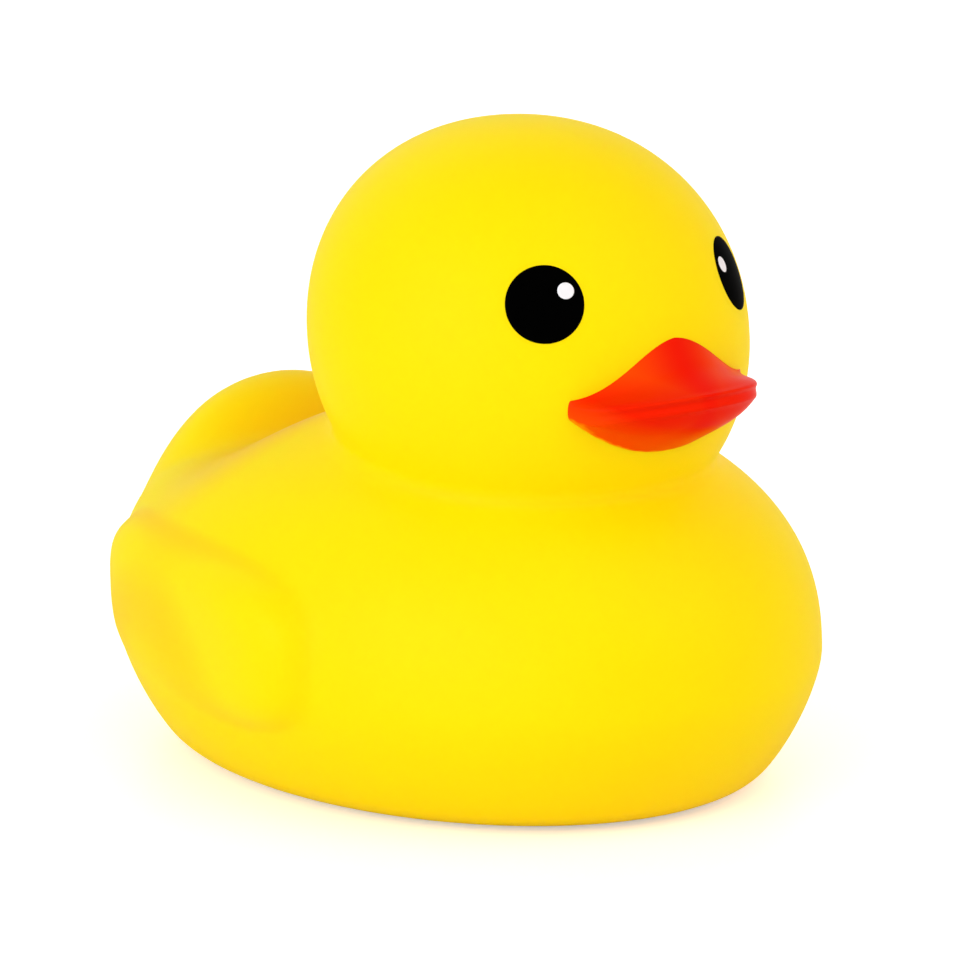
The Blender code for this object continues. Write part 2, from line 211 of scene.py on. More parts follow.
def trunkField(p):
    trunk = -smoothUnion(-bodyField(p), saddleField(p), saddle["fillet"])
    return smoothUnion(trunk, tailField(p), tail["fillet"])


def skinField(p):
    field = smoothUnion(trunkField(p), wingField(p), wing["fillet"])
    field = smoothUnion(field, headField(p), head["neckFillet"])
    return -smoothUnion(-field, p[:, 2], body["baseFillet"])


def pulled(points, depth, rounds=4, step=0.01):
    # moves points near the surface onto it, down or up the field's slope
    for _ in range(rounds):
        value = skinField(points) + depth
        ahead = [skinField(points + way) - skinField(points - way) for way in step * np.eye(3)]
        slope = np.column_stack(ahead) / (2 * step)
        points = points - slope * (value / (slope**2).sum(axis=1))[:, None]
    return points


def skinSurface(name, cell, depth, material):
    # one vertex in each grid cell that the surface passes through, and a quad round each grid
    # edge that it crosses
    half = np.ceil(np.array(skin["gridReach"]) / cell)
    first = np.array([-half[0], -half[1], -0.5]) * cell
    counts = (2 * int(half[0]) + 1, 2 * int(half[1]) + 1, int(half[2]) + 1)
    nodes = np.indices(counts).reshape(3, -1).T
    values = (skinField(first + nodes * cell) + depth).reshape(counts)
    total, crossings, quads = np.zeros((*counts, 3)), np.zeros(counts), []
    for axis, unit in enumerate(np.eye(3, dtype=int)):
        following = np.roll(values, -1, axis)
        edges = np.argwhere((values < 0) != (following < 0))
        start, end = values[tuple(edges.T)], following[tuple(edges.T)]
        spots = first + (edges + (start / (start - end))[:, None] * unit) * cell
        right, up = np.roll(unit, 1), np.roll(unit, 2)
        ring = [edges - right - up, edges - up, edges, edges - right]
        quads.append(np.stack(ring, axis=1))
        for cells in ring:
            np.add.at(total, tuple(cells.T), spots)
            np.add.at(crossings, tuple(cells.T), 1)
    filled = np.argwhere(crossings)
    number = np.zeros(counts, int)
    number[tuple(filled.T)] = np.arange(len(filled))
    means = total[tuple(filled.T)] / crossings[tuple(filled.T)][:, None]
    points = pulled(means, depth)
    points[np.abs(points[:, 2] - depth) < skin["flatWithin"], 2] = depth
    faces = [[int(number[tuple(place)]) for place in quad] for quad in np.concatenate(quads)]
    return addPiece(name, points, faces, material)


# Painted shade, as shares of a fully deep yellow: in the crease round each wing, in the saddle
# behind the head, in the crease under the head, and darker towards the base

paintedShadeShares = {
    "wingCrease": 0.42, "wingWidth": 1.5,
    "wingFront": -16.0, "wingFade": 28.0, "wingFrontShare": 0.15,  # least at the wing's front end
    "saddle": 0.8, "saddleWidth": 11.0, "saddleLength": 26.0,
    "saddleHold": 0.15,  # the part of that length which keeps the full share
    "headGap": 6.0,  # the saddle's painted shade sets in over this distance behind the head
    "neck": 0.1, "neckWidth": 2.0,
    "base": 0.15, "baseHeight": 16.0,
}


def paintedShadeShare(p):
    trunk = trunkField(p)

    def meeting(a, b, width):
        return np.clip(1 - np.hypot(a, b) / width, 0, 1)

    # painted shade in the crease round the wing: deep at the back of the wing, shallow at its front
    # end
    rearward = (p[:, 1] - paintedShadeShares["wingFront"]) / paintedShadeShares["wingFade"]
    share = paintedShadeShares["wingCrease"] * np.clip(rearward, paintedShadeShares["wingFrontShare"], 1)
    share *= meeting(trunk, wingField(p), paintedShadeShares["wingWidth"])
    # painted shade in the saddle's dip behind the head, where the head keeps the light off
    dip = np.clip(1 - np.abs(saddleField(p)) / paintedShadeShares["saddleWidth"], 0, 1)
    behind = headField(p)
    dip *= np.clip(1 + paintedShadeShares["saddleHold"] - behind / paintedShadeShares["saddleLength"], 0, 1)
    dip *= np.clip(behind / paintedShadeShares["headGap"], 0, 1)
    share += paintedShadeShares["saddle"] * dip
    # painted shade in the crease under the head
    share += paintedShadeShares["neck"] * meeting(trunk, headField(p), paintedShadeShares["neckWidth"])
    # painted shade, darker towards the base
    return share + paintedShadeShares["base"] * np.clip(1 - p[:, 2] / paintedShadeShares["baseHeight"], 0, 1)


def markPaintedShade(piece):
    # stores the share of painted shade on each vertex of the skin
    places = np.empty(len(piece.data.vertices) * 3)
    piece.data.vertices.foreach_get("co", places)
    share = piece.data.attributes.new("paintedShade", "FLOAT", "POINT")
    share.data.foreach_set("value", paintedShadeShare(places.reshape(-1, 3) / mm))


# The bill: rows of points from its top edge over the lips to the chin

bill = {
    "halfWidth": 14.4,
    "reach": 10.7,
    "peak": 3.4,
    "peakRound": 0.8,  # 0 keeps the top edge straight from peak to corner, 1 makes it a wave
    "cornerTop": -3.1,
    "cornerFoot": -5.3,
    "cornerLength": 0.2,
    "cornerOpen": 0.12,  # the share of the bill's height that is left at its very corner
    "chin": -11.0,
    "chinRoundness": 2.3,
    "mouthLevel": -5.4,
    "mouthBow": 1.8,
    "lipHalfHeight": 1.45,
    "lipCornerHalfHeight": 0.9,
    "lipInset": 0.7,  # what the half height loses with each millimetre of depth
    "lipTopBack": 1.3, "lipTopShare": 0.9,
    "lipFootBack": 0.6,
    "lipRoundBack": (0.1, 0.2), "lipRoundShare": 0.55,  # upper and lower lip
    "groove": 0.45,
    "slopeTurn": (0.38, 0.62),  # shares of the way forward and down from top edge to lip
    "throatShare": 0.45, "throatBulge": (1.4, -0.1),
    "blend": 0.5,
    "root": 1.2,
    "paintThickness": 0.3,
    "columns": 120,
    "rows": 90,
}


def headForward(across, up):
    rise, k = (head["rise"], head["crownRoundness"]) if up > 0 else (head["drop"], 2)
    radius = head["radius"] * (1 - abs(up / rise) ** k) ** (1 / k)
    return math.sqrt(radius**2 - across**2) - head["lean"] * up


def smoothStep(share):
    share = min(share, 1.0)
    return share * share * (3 - 2 * share)


def billSection(turn, depth):
    # one upright cut through the bill, as (forward, up) from the head's centre; depth is how far
    # it lies under the paint's face
    across, front, share = bill["halfWidth"] * math.sin(turn), math.cos(turn), abs(math.sin(turn))
    fall = share + (0.5 - 0.5 * math.cos(math.pi * share) - share) * bill["peakRound"]
    top = bill["peak"] + (bill["cornerTop"] - bill["peak"]) * fall
    foot = bill["chin"] + (bill["cornerFoot"] - bill["chin"]) * share ** bill["chinRoundness"]
    # the corners of the bill are round, seen from the side
    middle = (bill["cornerTop"] + bill["cornerFoot"]) / 2
    opening = math.sin(math.pi / 2 * min(1.0, front / bill["cornerLength"]))
    opening = max(bill["cornerOpen"], opening)
    top, foot = middle + (top - middle) * opening, middle + (foot - middle) * opening
    mouth = bill["mouthLevel"] + bill["mouthBow"] * front
    half = bill["lipCornerHalfHeight"]
    half += (bill["lipHalfHeight"] - half) * front - bill["lipInset"] * depth
    lips = headForward(bill["halfWidth"], bill["mouthLevel"]) + bill["reach"] * front - depth
    edge = Vector((headForward(across, top) - depth, top))
    chin = Vector((headForward(across, foot) - depth, foot))
    lipTop = Vector((lips - bill["lipTopBack"] * front, mouth + bill["lipTopShare"] * half))
    lipFoot = Vector((lips - bill["lipFootBack"] * front, mouth - half))
    forward, down = bill["slopeTurn"]
    slope = Vector((edge.x + forward * (lipTop.x - edge.x), edge.y + down * (lipTop.y - edge.y)))
    throat = lipFoot.lerp(chin, bill["throatShare"]) + Vector(bill["throatBulge"]) * front
    upperBack, lowerBack = bill["lipRoundBack"]
    bulge = bill["lipRoundShare"] * half
    bulging = [
        edge,
        slope,
        lipTop,
        Vector((lips - upperBack * front, mouth + bulge)),
        Vector((lips - bill["groove"] * front, mouth)),
        Vector((lips - lowerBack * front, mouth - bulge)),
        lipFoot,
        throat,
        chin,
    ]
    # towards the corners the cut sinks back onto the head
    lift = smoothStep(front / bill["blend"])
    section = []
    for step, point in enumerate(bulging):
        up = top + (foot - top) * step / (len(bulging) - 1)
        section.append(Vector((headForward(across, up) - depth, up)).lerp(point, lift))
    return section


def curvePoint(points, share):
    # a smooth curve through all the points, at a share of its way
    place = share * (len(points) - 1)
    start = min(int(place), len(points) - 2)
    t = place - start
    before, a, b = points[max(start - 1, 0)], points[start], points[start + 1]
    after = points[min(start + 2, len(points) - 1)]
    return (
        2 * a + (b - before) * t + (2 * before - 5 * a + 4 * b - after) * t**2
        + (3 * a - 3 * b + after - before) * t**3
    ) / 2


def billPoint(depth):
    sections = {}

    def place(s, t):
        turn = s * math.pi / 2
        if s not in sections:
            sections[s] = billSection(turn, depth)
        forward, up = curvePoint(sections[s], (1 - t) / 2)
        inward = depth * math.sin(turn) * smoothStep(math.cos(turn) / bill["blend"])
        across = bill["halfWidth"] * math.sin(turn) - inward * math.sqrt(1 - t * t)
        return np.array(head["centre"]) + np.array((across, -forward, up))

    return place


def billRoot(s, t):
    # the hidden face of the bill's form, inside the head
    turn = s * math.pi / 2
    section = billSection(turn, 0.0)
    up = section[-1].y + (section[0].y - section[-1].y) * (t + 1) / 2
    across = bill["halfWidth"] * math.sin(turn)
    forward = headForward(across, up) - bill["root"]
    return np.array(head["centre"]) + np.array((across, -forward, up))


def closedSheet(name, columns, rows, outside, inside, material):
    # two grids of points with a band of quads round their edges
    points, faces = [], []
    for surface in (outside, inside):
        for j in range(rows + 1):
            for i in range(columns + 1):
                points.append(surface(2 * i / columns - 1, 2 * j / rows - 1))
    size = (columns + 1) * (rows + 1)

    def at(layer, i, j):
        return layer * size + j * (columns + 1) + i

    for j in range(rows):
        for i in range(columns):
            ring = [(i, j), (i + 1, j), (i + 1, j + 1), (i, j + 1)]
            faces.append([at(0, *c) for c in ring])
            faces.append([at(1, *c) for c in reversed(ring)])
    edge = [(i, 0) for i in range(columns)] + [(columns, j) for j in range(rows)]
    edge += [(i, rows) for i in range(columns, 0, -1)] + [(0, j) for j in range(rows, 0, -1)]
    for a, b in zip(edge, edge[1:] + edge[:1]):
        faces.append([at(0, *b), at(0, *a), at(1, *a), at(1, *b)])
    piece = addPiece(name, points, faces, material)
    faceOutwards(piece)
    return piece


# The printed eyes and their glints, round patches of the head's own surface

eye = {"radius": 4.97, "turn": 35.9, "rise": 18.3, "cells": 28, "proud": 0.03, "rim": 0.25}
glint = {"radius": 1.05, "turn": 30.1, "rise": 21.5, "cells": 16, "proud": 0.06, "rim": 0.75}
film = {
    "sunk": 0.15,  # how far the hidden face of a print lies in the skin
    "rimSlope": 8,  # the rim comes down within an eighth of the radius
}


def headPoint(turn, rise):
    out = math.cos(rise)
    along = Vector((out * math.sin(turn), -out * math.cos(turn), math.sin(rise)))
    return Vector(head["centre"]) + along / float(headReach(*along))


def patchPoint(turn, rise, radius, depth, rim):
    centre, step = headPoint(turn, rise), 0.01
    right = (headPoint(turn + step, rise) - headPoint(turn - step, rise)).normalized()
    upward = (headPoint(turn, rise + step) - headPoint(turn, rise - step)).normalized()

    def place(s, t):
        a, b = radius * s * math.sqrt(1 - t * t / 2), radius * t * math.sqrt(1 - s * s / 2)
        spot = centre + right * a + upward * b - Vector(head["centre"])
        # the rim of the print comes down towards the skin, so that it has no cut edge
        proud = depth * min(1.0, (1 - max(abs(s), abs(t))) * film["rimSlope"] + rim)
        onHead = Vector(head["centre"]) + spot / float(headReach(*spot))
        return np.array(onHead - spot.normalized() * proud)

    return place


def makePatch(name, side, sizes, material):
    turn, rise = side * math.radians(sizes["turn"]), math.radians(sizes["rise"])
    outside = patchPoint(turn, rise, sizes["radius"], -sizes["proud"], sizes["rim"])
    inside = patchPoint(turn, rise, sizes["radius"], film["sunk"], 1.0)
    return closedSheet(name, sizes["cells"], sizes["cells"], outside, inside, material)


# The squeaker's housing, pressed into the base

squeaker = {
    "flangeRadius": 8.5, "flangeFoot": 0.3, "flangeTop": 1.0, "airRadius": 2.0,
    "barrelRadius": 6.0, "barrelTop": 10.0, "chamberRadius": 4.8, "chamberFloor": 5.5,
    "recessRadius": 8.8, "recessDepth": 1.3, "holeRadius": 6.3, "seatRadius": 10.0,
    "seatHeight": 4.5, "cornerRadius": 0.25, "steps": 96,
    "overcut": 1.0,  # what the cutters reach past the vinyl that they cut
}


def turnedSolid(name, profile, steps, material, closed=True):
    # a ring of (radius, height) points carried round Z; points on the axis are shared
    points, rings, faces = [], [], []
    for radius, height in profile:
        if radius < 1e-6:
            rings.append([len(points)] * steps)
            points.append(np.array((0.0, 0.0, height)))
            continue
        rings.append(list(range(len(points), len(points) + steps)))
        for i in range(steps):
            angle = 2 * math.pi * i / steps
            points.append(np.array((radius * math.cos(angle), radius * math.sin(angle), height)))
    pairs = list(zip(rings, rings[1:])) + ([(rings[-1], rings[0])] if closed else [])
    for a, b in pairs:
        for i in range(steps):
            j = (i + 1) % steps
            ring = list(dict.fromkeys((a[i], a[j], b[j], b[i])))
            if len(ring) > 2:
                faces.append(ring)
    piece = addPiece(name, points, faces, material)
    faceOutwards(piece)
    return piece


def roundCorner(corner, before, after, radius, steps=5):
    # a profile corner replaced by an arc-like curve
    corner, before, after = Vector(corner), Vector(before), Vector(after)
    start = corner + (before - corner).normalized() * radius
    end = corner + (after - corner).normalized() * radius
    curve = []
    for i in range(steps + 1):
        t = i / steps
        spot = start * (1 - t) ** 2 + corner * 2 * t * (1 - t) + end * t**2
        curve.append((spot.x, spot.y))
    return curve


# Materials, each from what the real one is and how its surface was made

vinylFinish = {
    "lemon": ("#FFE200", "#FFE502"),  # the ends of the pigment's swirls
    # the deep yellow of the painted shade
    "paintedShade": "#FF8200",
    "swirl": 30.3,  # millimetres across, barely visible
    "grain": 0.4167,  # millimetres, from the mould's blasted face
    "roughness": (0.44, 0.54),
}


def rotomouldedVinyl():
    # PVC vinyl cast in a spinning mould: matte, a little translucent
    material, tree = newMaterial("rotomouldedVinyl")
    place = addNode(tree, "ShaderNodeTexCoord").outputs["Object"]
    cloud = addNode(tree, "ShaderNodeTexNoise",
                    {("in", "Scale"): patternScale(vinylFinish["swirl"]), ("in", "Detail"): 2.0},
                    {"Vector": place})
    tint = addNode(tree, "ShaderNodeValToRGB", {}, {"Fac": cloud.outputs["Fac"]})
    tint.color_ramp.elements[0].position, tint.color_ramp.elements[1].position = 0.3, 0.7
    for end, code in zip(tint.color_ramp.elements, vinylFinish["lemon"]):
        end.color = hexColour(code)
    # painted shade: in the creases, behind the head and towards the base, the lemon is mixed
    # towards deep yellow
    paintedShade = addNode(tree, "ShaderNodeAttribute", {"attribute_name": "paintedShade"})
    colour = addNode(tree, "ShaderNodeMix", {"data_type": "RGBA"},
                     {"Factor": paintedShade.outputs["Fac"], "A": tint.outputs["Color"]})
    colour.inputs["B"].default_value = hexColour(vinylFinish["paintedShade"])
    grain = addNode(tree, "ShaderNodeTexNoise",
                    {("in", "Scale"): patternScale(vinylFinish["grain"]), ("in", "Detail"): 3.0},
                    {"Vector": place})
    bump = addNode(tree, "ShaderNodeBump",
                   {("in", "Strength"): 0.12, ("in", "Distance"): 0.0001},
                   {"Height": grain.outputs["Fac"]})
    smooth, coarse = vinylFinish["roughness"]
    rough = addNode(tree, "ShaderNodeMapRange",
                    {("in", "To Min"): smooth, ("in", "To Max"): coarse},
                    {"Value": cloud.outputs["Fac"]})
    # vinyl's own IOR, with little mirror shine: the grain scatters nearly all of it
    shader = addNode(tree, "ShaderNodeBsdfPrincipled",
                     {("in", "IOR"): 1.53, ("in", "Specular IOR Level"): 0.05,
                      ("in", "Subsurface Weight"): 0.3,
                      ("in", "Subsurface Radius"): (1.0, 0.45, 0.05),
                      ("in", "Subsurface Scale"): 0.004},
                     {"Base Color": colour.outputs["Result"], "Roughness": rough.outputs["Result"],
                      "Normal": bump.outputs["Normal"]})
    addNode(tree, "ShaderNodeOutputMaterial", {}, {"Surface": shader.outputs["BSDF"]})
    return material


orangeFinish = {
    "thin": "#F24600",
    "thick": "#EC1700",
    "bare": "#FFD800",  # the vinyl past the mask's edge
    "edgeWander": 0.5, "edgeSoft": 0.3,  # millimetres
    "ridgeReach": 8.0,  # millimetres out from the middle
    "lipsCore": 0.8, "lipsReach": 5.0, "lipsShare": 0.9,  # millimetres from the mouth line
    "footFade": (0.3, 4.0),  # millimetres above the lower edge
    "mottle": 1.43, "peel": 0.5556,  # millimetres across
    "roughness": (0.26, 0.34),
}


def sprayedOrange():
    # vinyl paint sprayed through a mask: semi-gloss, thinner at the chin where yellow shows
    material, tree = newMaterial("sprayedOrange")
    place = addNode(tree, "ShaderNodeTexCoord").outputs["Object"]
    parts = addNode(tree, "ShaderNodeSeparateXYZ", {}, {"Vector": place})
    # height above the lower edge, in metres: z - foot(x)
    across = addNode(tree, "ShaderNodeMath", {"operation": "ABSOLUTE"},
                     {0: parts.outputs["X"]})
    share = addNode(tree, "ShaderNodeMath",
                    {"operation": "DIVIDE", ("in", 1): bill["halfWidth"] * mm},
                    {0: across.outputs[0]})
    curve = addNode(tree, "ShaderNodeMath",
                    {"operation": "POWER", ("in", 1): bill["chinRoundness"]},
                    {0: share.outputs[0]})
    foot = addNode(tree, "ShaderNodeMath",
                   {"operation": "MULTIPLY_ADD",
                    ("in", 1): (bill["cornerFoot"] - bill["chin"]) * mm,
                    ("in", 2): (head["centre"][2] + bill["chin"]) * mm},
                   {0: curve.outputs[0]})
    above = addNode(tree, "ShaderNodeMath", {"operation": "SUBTRACT"},
                    {0: parts.outputs["Z"], 1: foot.outputs[0]})
    mottle = addNode(tree, "ShaderNodeTexNoise",
                     {("in", "Scale"): patternScale(orangeFinish["mottle"]), ("in", "Detail"): 3.0},
                     {"Vector": place})
    wander = orangeFinish["edgeWander"] * mm
    edge = addNode(tree, "ShaderNodeMath",
                   {"operation": "MULTIPLY_ADD", ("in", 1): wander, ("in", 2): -wander / 2},
                   {0: mottle.outputs["Fac"]})
    ragged = addNode(tree, "ShaderNodeMath", {"operation": "ADD"},
                     {0: above.outputs[0], 1: edge.outputs[0]})
    soft = orangeFinish["edgeSoft"] * mm
    cover = addNode(tree, "ShaderNodeMapRange",
                    {"interpolation_type": "SMOOTHSTEP", ("in", "From Min"): -soft,
                     ("in", "From Max"): soft}, {"Value": ragged.outputs[0]})
    # the gun goes again over the ridge and the lips, so the coat there is thick and red, and
    # thin and orange on the flanks and at the chin
    ridge = addNode(tree, "ShaderNodeMapRange",
                    {"interpolation_type": "SMOOTHSTEP", ("in", "From Min"): 0.0,
                     ("in", "From Max"): orangeFinish["ridgeReach"] * mm,
                     ("in", "To Min"): 1.0, ("in", "To Max"): 0.0},
                    {"Value": across.outputs[0]})
    mouthHeight = (head["centre"][2] + bill["mouthLevel"] + bill["mouthBow"] / 2) * mm
    fromMouth = addNode(tree, "ShaderNodeMath", {"operation": "SUBTRACT", ("in", 1): mouthHeight},
                        {0: parts.outputs["Z"]})
    apart = addNode(tree, "ShaderNodeMath", {"operation": "ABSOLUTE"}, {0: fromMouth.outputs[0]})
    lips = addNode(tree, "ShaderNodeMapRange",
                   {"interpolation_type": "SMOOTHSTEP",
                    ("in", "From Min"): orangeFinish["lipsCore"] * mm,
                    ("in", "From Max"): orangeFinish["lipsReach"] * mm,
                    ("in", "To Min"): orangeFinish["lipsShare"], ("in", "To Max"): 0.0},
                   {"Value": apart.outputs[0]})
    twice = addNode(tree, "ShaderNodeMath", {"operation": "MAXIMUM"},
                    {0: ridge.outputs["Result"], 1: lips.outputs["Result"]})
    low, high = orangeFinish["footFade"]
    height = addNode(tree, "ShaderNodeMapRange",
                     {("in", "From Min"): low * mm, ("in", "From Max"): high * mm},
                     {"Value": above.outputs[0]})
    thick = addNode(tree, "ShaderNodeMath", {"operation": "MULTIPLY"},
                    {0: twice.outputs[0], 1: height.outputs["Result"]})
    coat = addNode(tree, "ShaderNodeMix", {"data_type": "RGBA"}, {"Factor": thick.outputs[0]})
    coat.inputs["A"].default_value = hexColour(orangeFinish["thin"])
    coat.inputs["B"].default_value = hexColour(orangeFinish["thick"])
    colour = addNode(tree, "ShaderNodeMix", {"data_type": "RGBA"},
                     {"Factor": cover.outputs["Result"], "B": coat.outputs["Result"]})
    colour.inputs["A"].default_value = hexColour(orangeFinish["bare"])
    # the dried droplets of the spray
    orangePeel = addNode(tree, "ShaderNodeTexNoise",
                         {("in", "Scale"): patternScale(orangeFinish["peel"]),
                          ("in", "Detail"): 2.0}, {"Vector": place})
    bump = addNode(tree, "ShaderNodeBump",
                   {("in", "Strength"): 0.1, ("in", "Distance"): 0.0001},
                   {"Height": orangePeel.outputs["Fac"]})
    smooth, coarse = orangeFinish["roughness"]
    rough = addNode(tree, "ShaderNodeMapRange",
                    {("in", "To Min"): smooth, ("in", "To Max"): coarse},
                    {"Value": mottle.outputs["Fac"]})
    # an IOR under the binder's 1.5, because the real coat shows no pale sheen at its edges
    shader = addNode(tree, "ShaderNodeBsdfPrincipled",
                     {("in", "IOR"): 1.2, ("in", "Specular IOR Level"): 0.1},
                     {"Base Color": colour.outputs["Result"], "Roughness": rough.outputs["Result"],
                      "Normal": bump.outputs["Normal"]})
    addNode(tree, "ShaderNodeOutputMaterial", {}, {"Surface": shader.outputs["BSDF"]})
    return material


def printedInk(name, dark, light, roughness, gloss):
    # vinyl ink from a soft pad: a thin even film with the pad's faint mottle, about 1 mm across;
    # gloss is its mirror shine, and the low IOR keeps a pale rim off the dark print
    material, tree = newMaterial(name)
    place = addNode(tree, "ShaderNodeTexCoord").outputs["Object"]
    mottle = addNode(tree, "ShaderNodeTexNoise",
                     {("in", "Scale"): patternScale(1.111), ("in", "Detail"): 3.0},
                     {"Vector": place})
    colour = addNode(tree, "ShaderNodeMix", {"data_type": "RGBA"},
                     {"Factor": mottle.outputs["Fac"]})
    colour.inputs["A"].default_value = hexColour(dark)
    colour.inputs["B"].default_value = hexColour(light)
    rough = addNode(tree, "ShaderNodeMapRange",
                    {("in", "To Min"): roughness - 0.03, ("in", "To Max"): roughness + 0.03},
                    {"Value": mottle.outputs["Fac"]})
    bump = addNode(tree, "ShaderNodeBump",
                   {("in", "Strength"): 0.05, ("in", "Distance"): 0.0001},
                   {"Height": mottle.outputs["Fac"]})
    shader = addNode(tree, "ShaderNodeBsdfPrincipled",
                     {("in", "IOR"): 1.1, ("in", "Specular IOR Level"): gloss},
                     {"Base Color": colour.outputs["Result"], "Roughness": rough.outputs["Result"],
                      "Normal": bump.outputs["Normal"]})
    addNode(tree, "ShaderNodeOutputMaterial", {}, {"Surface": shader.outputs["BSDF"]})
    return material


def mouldedPolyethylene():
    # natural polyethylene, injection moulded: milky, waxy, with fine turning marks of the tool
    material, tree = newMaterial("mouldedPolyethylene")
    place = addNode(tree, "ShaderNodeTexCoord").outputs["Object"]
    cloud = addNode(tree, "ShaderNodeTexNoise",
                    {("in", "Scale"): patternScale(4.0), ("in", "Detail"): 3.0},
                    {"Vector": place})
    colour = addNode(tree, "ShaderNodeMix", {"data_type": "RGBA"}, {"Factor": cloud.outputs["Fac"]})
    colour.inputs["A"].default_value = hexColour("#EFECE2")
    colour.inputs["B"].default_value = hexColour("#F6F4EC")
    # tool marks 0.35 mm apart, in rings round the hole; the texture draws a ring each pi / 10
    rings = addNode(tree, "ShaderNodeTexWave",
                    {"wave_type": "RINGS", "rings_direction": "Z",
                     ("in", "Scale"): math.pi / 10 * patternScale(0.349),
                     ("in", "Distortion"): 0.4}, {"Vector": place})
    bump = addNode(tree, "ShaderNodeBump",
                   {("in", "Strength"): 0.15, ("in", "Distance"): 0.0001},
                   {"Height": rings.outputs["Fac"]})
    rough = addNode(tree, "ShaderNodeMapRange",
                    {("in", "To Min"): 0.36, ("in", "To Max"): 0.48},
                    {"Value": cloud.outputs["Fac"]})
    shader = addNode(tree, "ShaderNodeBsdfPrincipled",
                     {("in", "IOR"): 1.51, ("in", "Subsurface Weight"): 0.2,
                      ("in", "Subsurface Radius"): (1.0, 0.9, 0.8),
                      ("in", "Subsurface Scale"): 0.001},
                     {"Base Color": colour.outputs["Result"], "Roughness": rough.outputs["Result"],
                      "Normal": bump.outputs["Normal"]})
    addNode(tree, "ShaderNodeOutputMaterial", {}, {"Surface": shader.outputs["BSDF"]})
    return material


def rolledBrass():
    # thin brass strip: warm, with rolling lines 0.25 mm apart and about 8 mm long
    material, tree = newMaterial("rolledBrass")
    place = addNode(tree, "ShaderNodeTexCoord").outputs["Object"]
    apart = patternScale(0.25)
    stretch = addNode(tree, "ShaderNodeMapping",
                      {("in", "Scale"): (patternScale(8.333), apart, apart)}, {"Vector": place})
    lines = addNode(tree, "ShaderNodeTexNoise", {("in", "Scale"): 1.0, ("in", "Detail"): 2.0},
                    {"Vector": stretch.outputs["Vector"]})
    colour = addNode(tree, "ShaderNodeMix", {"data_type": "RGBA"}, {"Factor": lines.outputs["Fac"]})
    colour.inputs["A"].default_value = hexColour("#D9B25C")
    colour.inputs["B"].default_value = hexColour("#E6C777")
    rough = addNode(tree, "ShaderNodeMapRange",
                    {("in", "To Min"): 0.22, ("in", "To Max"): 0.36},
                    {"Value": lines.outputs["Fac"]})
    shader = addNode(tree, "ShaderNodeBsdfPrincipled", {("in", "Metallic"): 1.0},
                     {"Base Color": colour.outputs["Result"], "Roughness": rough.outputs["Result"]})
    addNode(tree, "ShaderNodeOutputMaterial", {}, {"Surface": shader.outputs["BSDF"]})
    return material


vinyl = rotomouldedVinyl()
orange = sprayedOrange()
black = printedInk("printedBlack", "#010101", "#020202", 0.3, 0.012)
white = printedInk("printedWhite", "#E8ECF4", "#F0F3F9", 0.3, 0.2)
plastic = mouldedPolyethylene()
brass = rolledBrass()
print("materials made:", len(bpy.data.materials))

# Skin: outside, bill form, hollow and squeaker seat
duckSkin = skinSurface("duckSkin", skin["cell"], 0.0, vinyl)
thickness = bill["paintThickness"]
billForm = closedSheet("billForm", bill["columns"], bill["rows"],
                       billPoint(0.5 * thickness), billRoot, vinyl)
cutOrJoin(duckSkin, billForm, "UNION")
cavity = skinSurface("cavity", skin["cavityCell"], skin["wall"], vinyl)
over = squeaker["overcut"]
seat = turnedSolid("seat", [(0, -over), (squeaker["seatRadius"], -over),
                            (squeaker["seatRadius"], squeaker["seatHeight"]),
                            (0, squeaker["seatHeight"])], squeaker["steps"], vinyl, closed=False)
cutOrJoin(cavity, seat, "DIFFERENCE")
cutOrJoin(duckSkin, cavity, "DIFFERENCE")
bore = turnedSolid("bore", [(0, -over), (squeaker["recessRadius"], -over),
                            (squeaker["recessRadius"], squeaker["recessDepth"]),
                            (squeaker["holeRadius"], squeaker["recessDepth"]),
                            (squeaker["holeRadius"], squeaker["seatHeight"] + over),
                            (0, squeaker["seatHeight"] + over)], squeaker["steps"], vinyl,
                   closed=False)
cutOrJoin(duckSkin, bore, "DIFFERENCE")
# paints shade into the skin's creases and darker towards its base
markPaintedShade(duckSkin)
duckSkin.data.shade_smooth()
duckSkin.data.set_sharp_from_angle(angle=sharpAngle)
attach(duckSkin, "root")
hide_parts("duck_body")
print("skin made:", len(duckSkin.data.polygons), "faces")

# Paint and print
billPaint = closedSheet("billPaint", bill["columns"], bill["rows"],
                        billPoint(0.0), billPoint(thickness), orange)
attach(billPaint, "root")
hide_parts("bill_paint")
for side, label in ((-1, "right"), (1, "left")):
    eyePrint = makePatch("eyePrint_" + label, side, eye, black)
    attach(eyePrint, "root")
    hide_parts("eye_paint_" + label)
    glintPrint = makePatch("glintPrint_" + label, side, glint, white)
    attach(glintPrint, "root")
    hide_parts("glint_" + label)
print("paint made")

# Squeaker: the housing's half section runs up the air hole, over the barrel and round the flange
corners = [(squeaker[radius], squeaker[height]) for radius, height in (
    ("airRadius", "chamberFloor"), ("chamberRadius", "chamberFloor"),
    ("chamberRadius", "barrelTop"), ("barrelRadius", "barrelTop"),
    ("barrelRadius", "flangeTop"), ("flangeRadius", "flangeTop"),
    ("flangeRadius", "flangeFoot"), ("airRadius", "flangeFoot"),
)]
profile = []
for i, corner in enumerate(corners):
    before, after = corners[i - 1], corners[(i + 1) % len(corners)]
    profile += roundCorner(corner, before, after, squeaker["cornerRadius"])
housing = turnedSolid("squeakerHousing", profile, squeaker["steps"], plastic)
housing.data.shade_smooth()
housing.data.set_sharp_from_angle(angle=sharpAngle)
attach(housing, "root")
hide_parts("squeaker_housing")
for node, material in (("squeaker_cap", plastic), ("squeaker_reed", brass)):
    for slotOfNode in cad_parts[node].material_slots:
        slotOfNode.material = material
print("squeaker made")

# Floor, light and camera

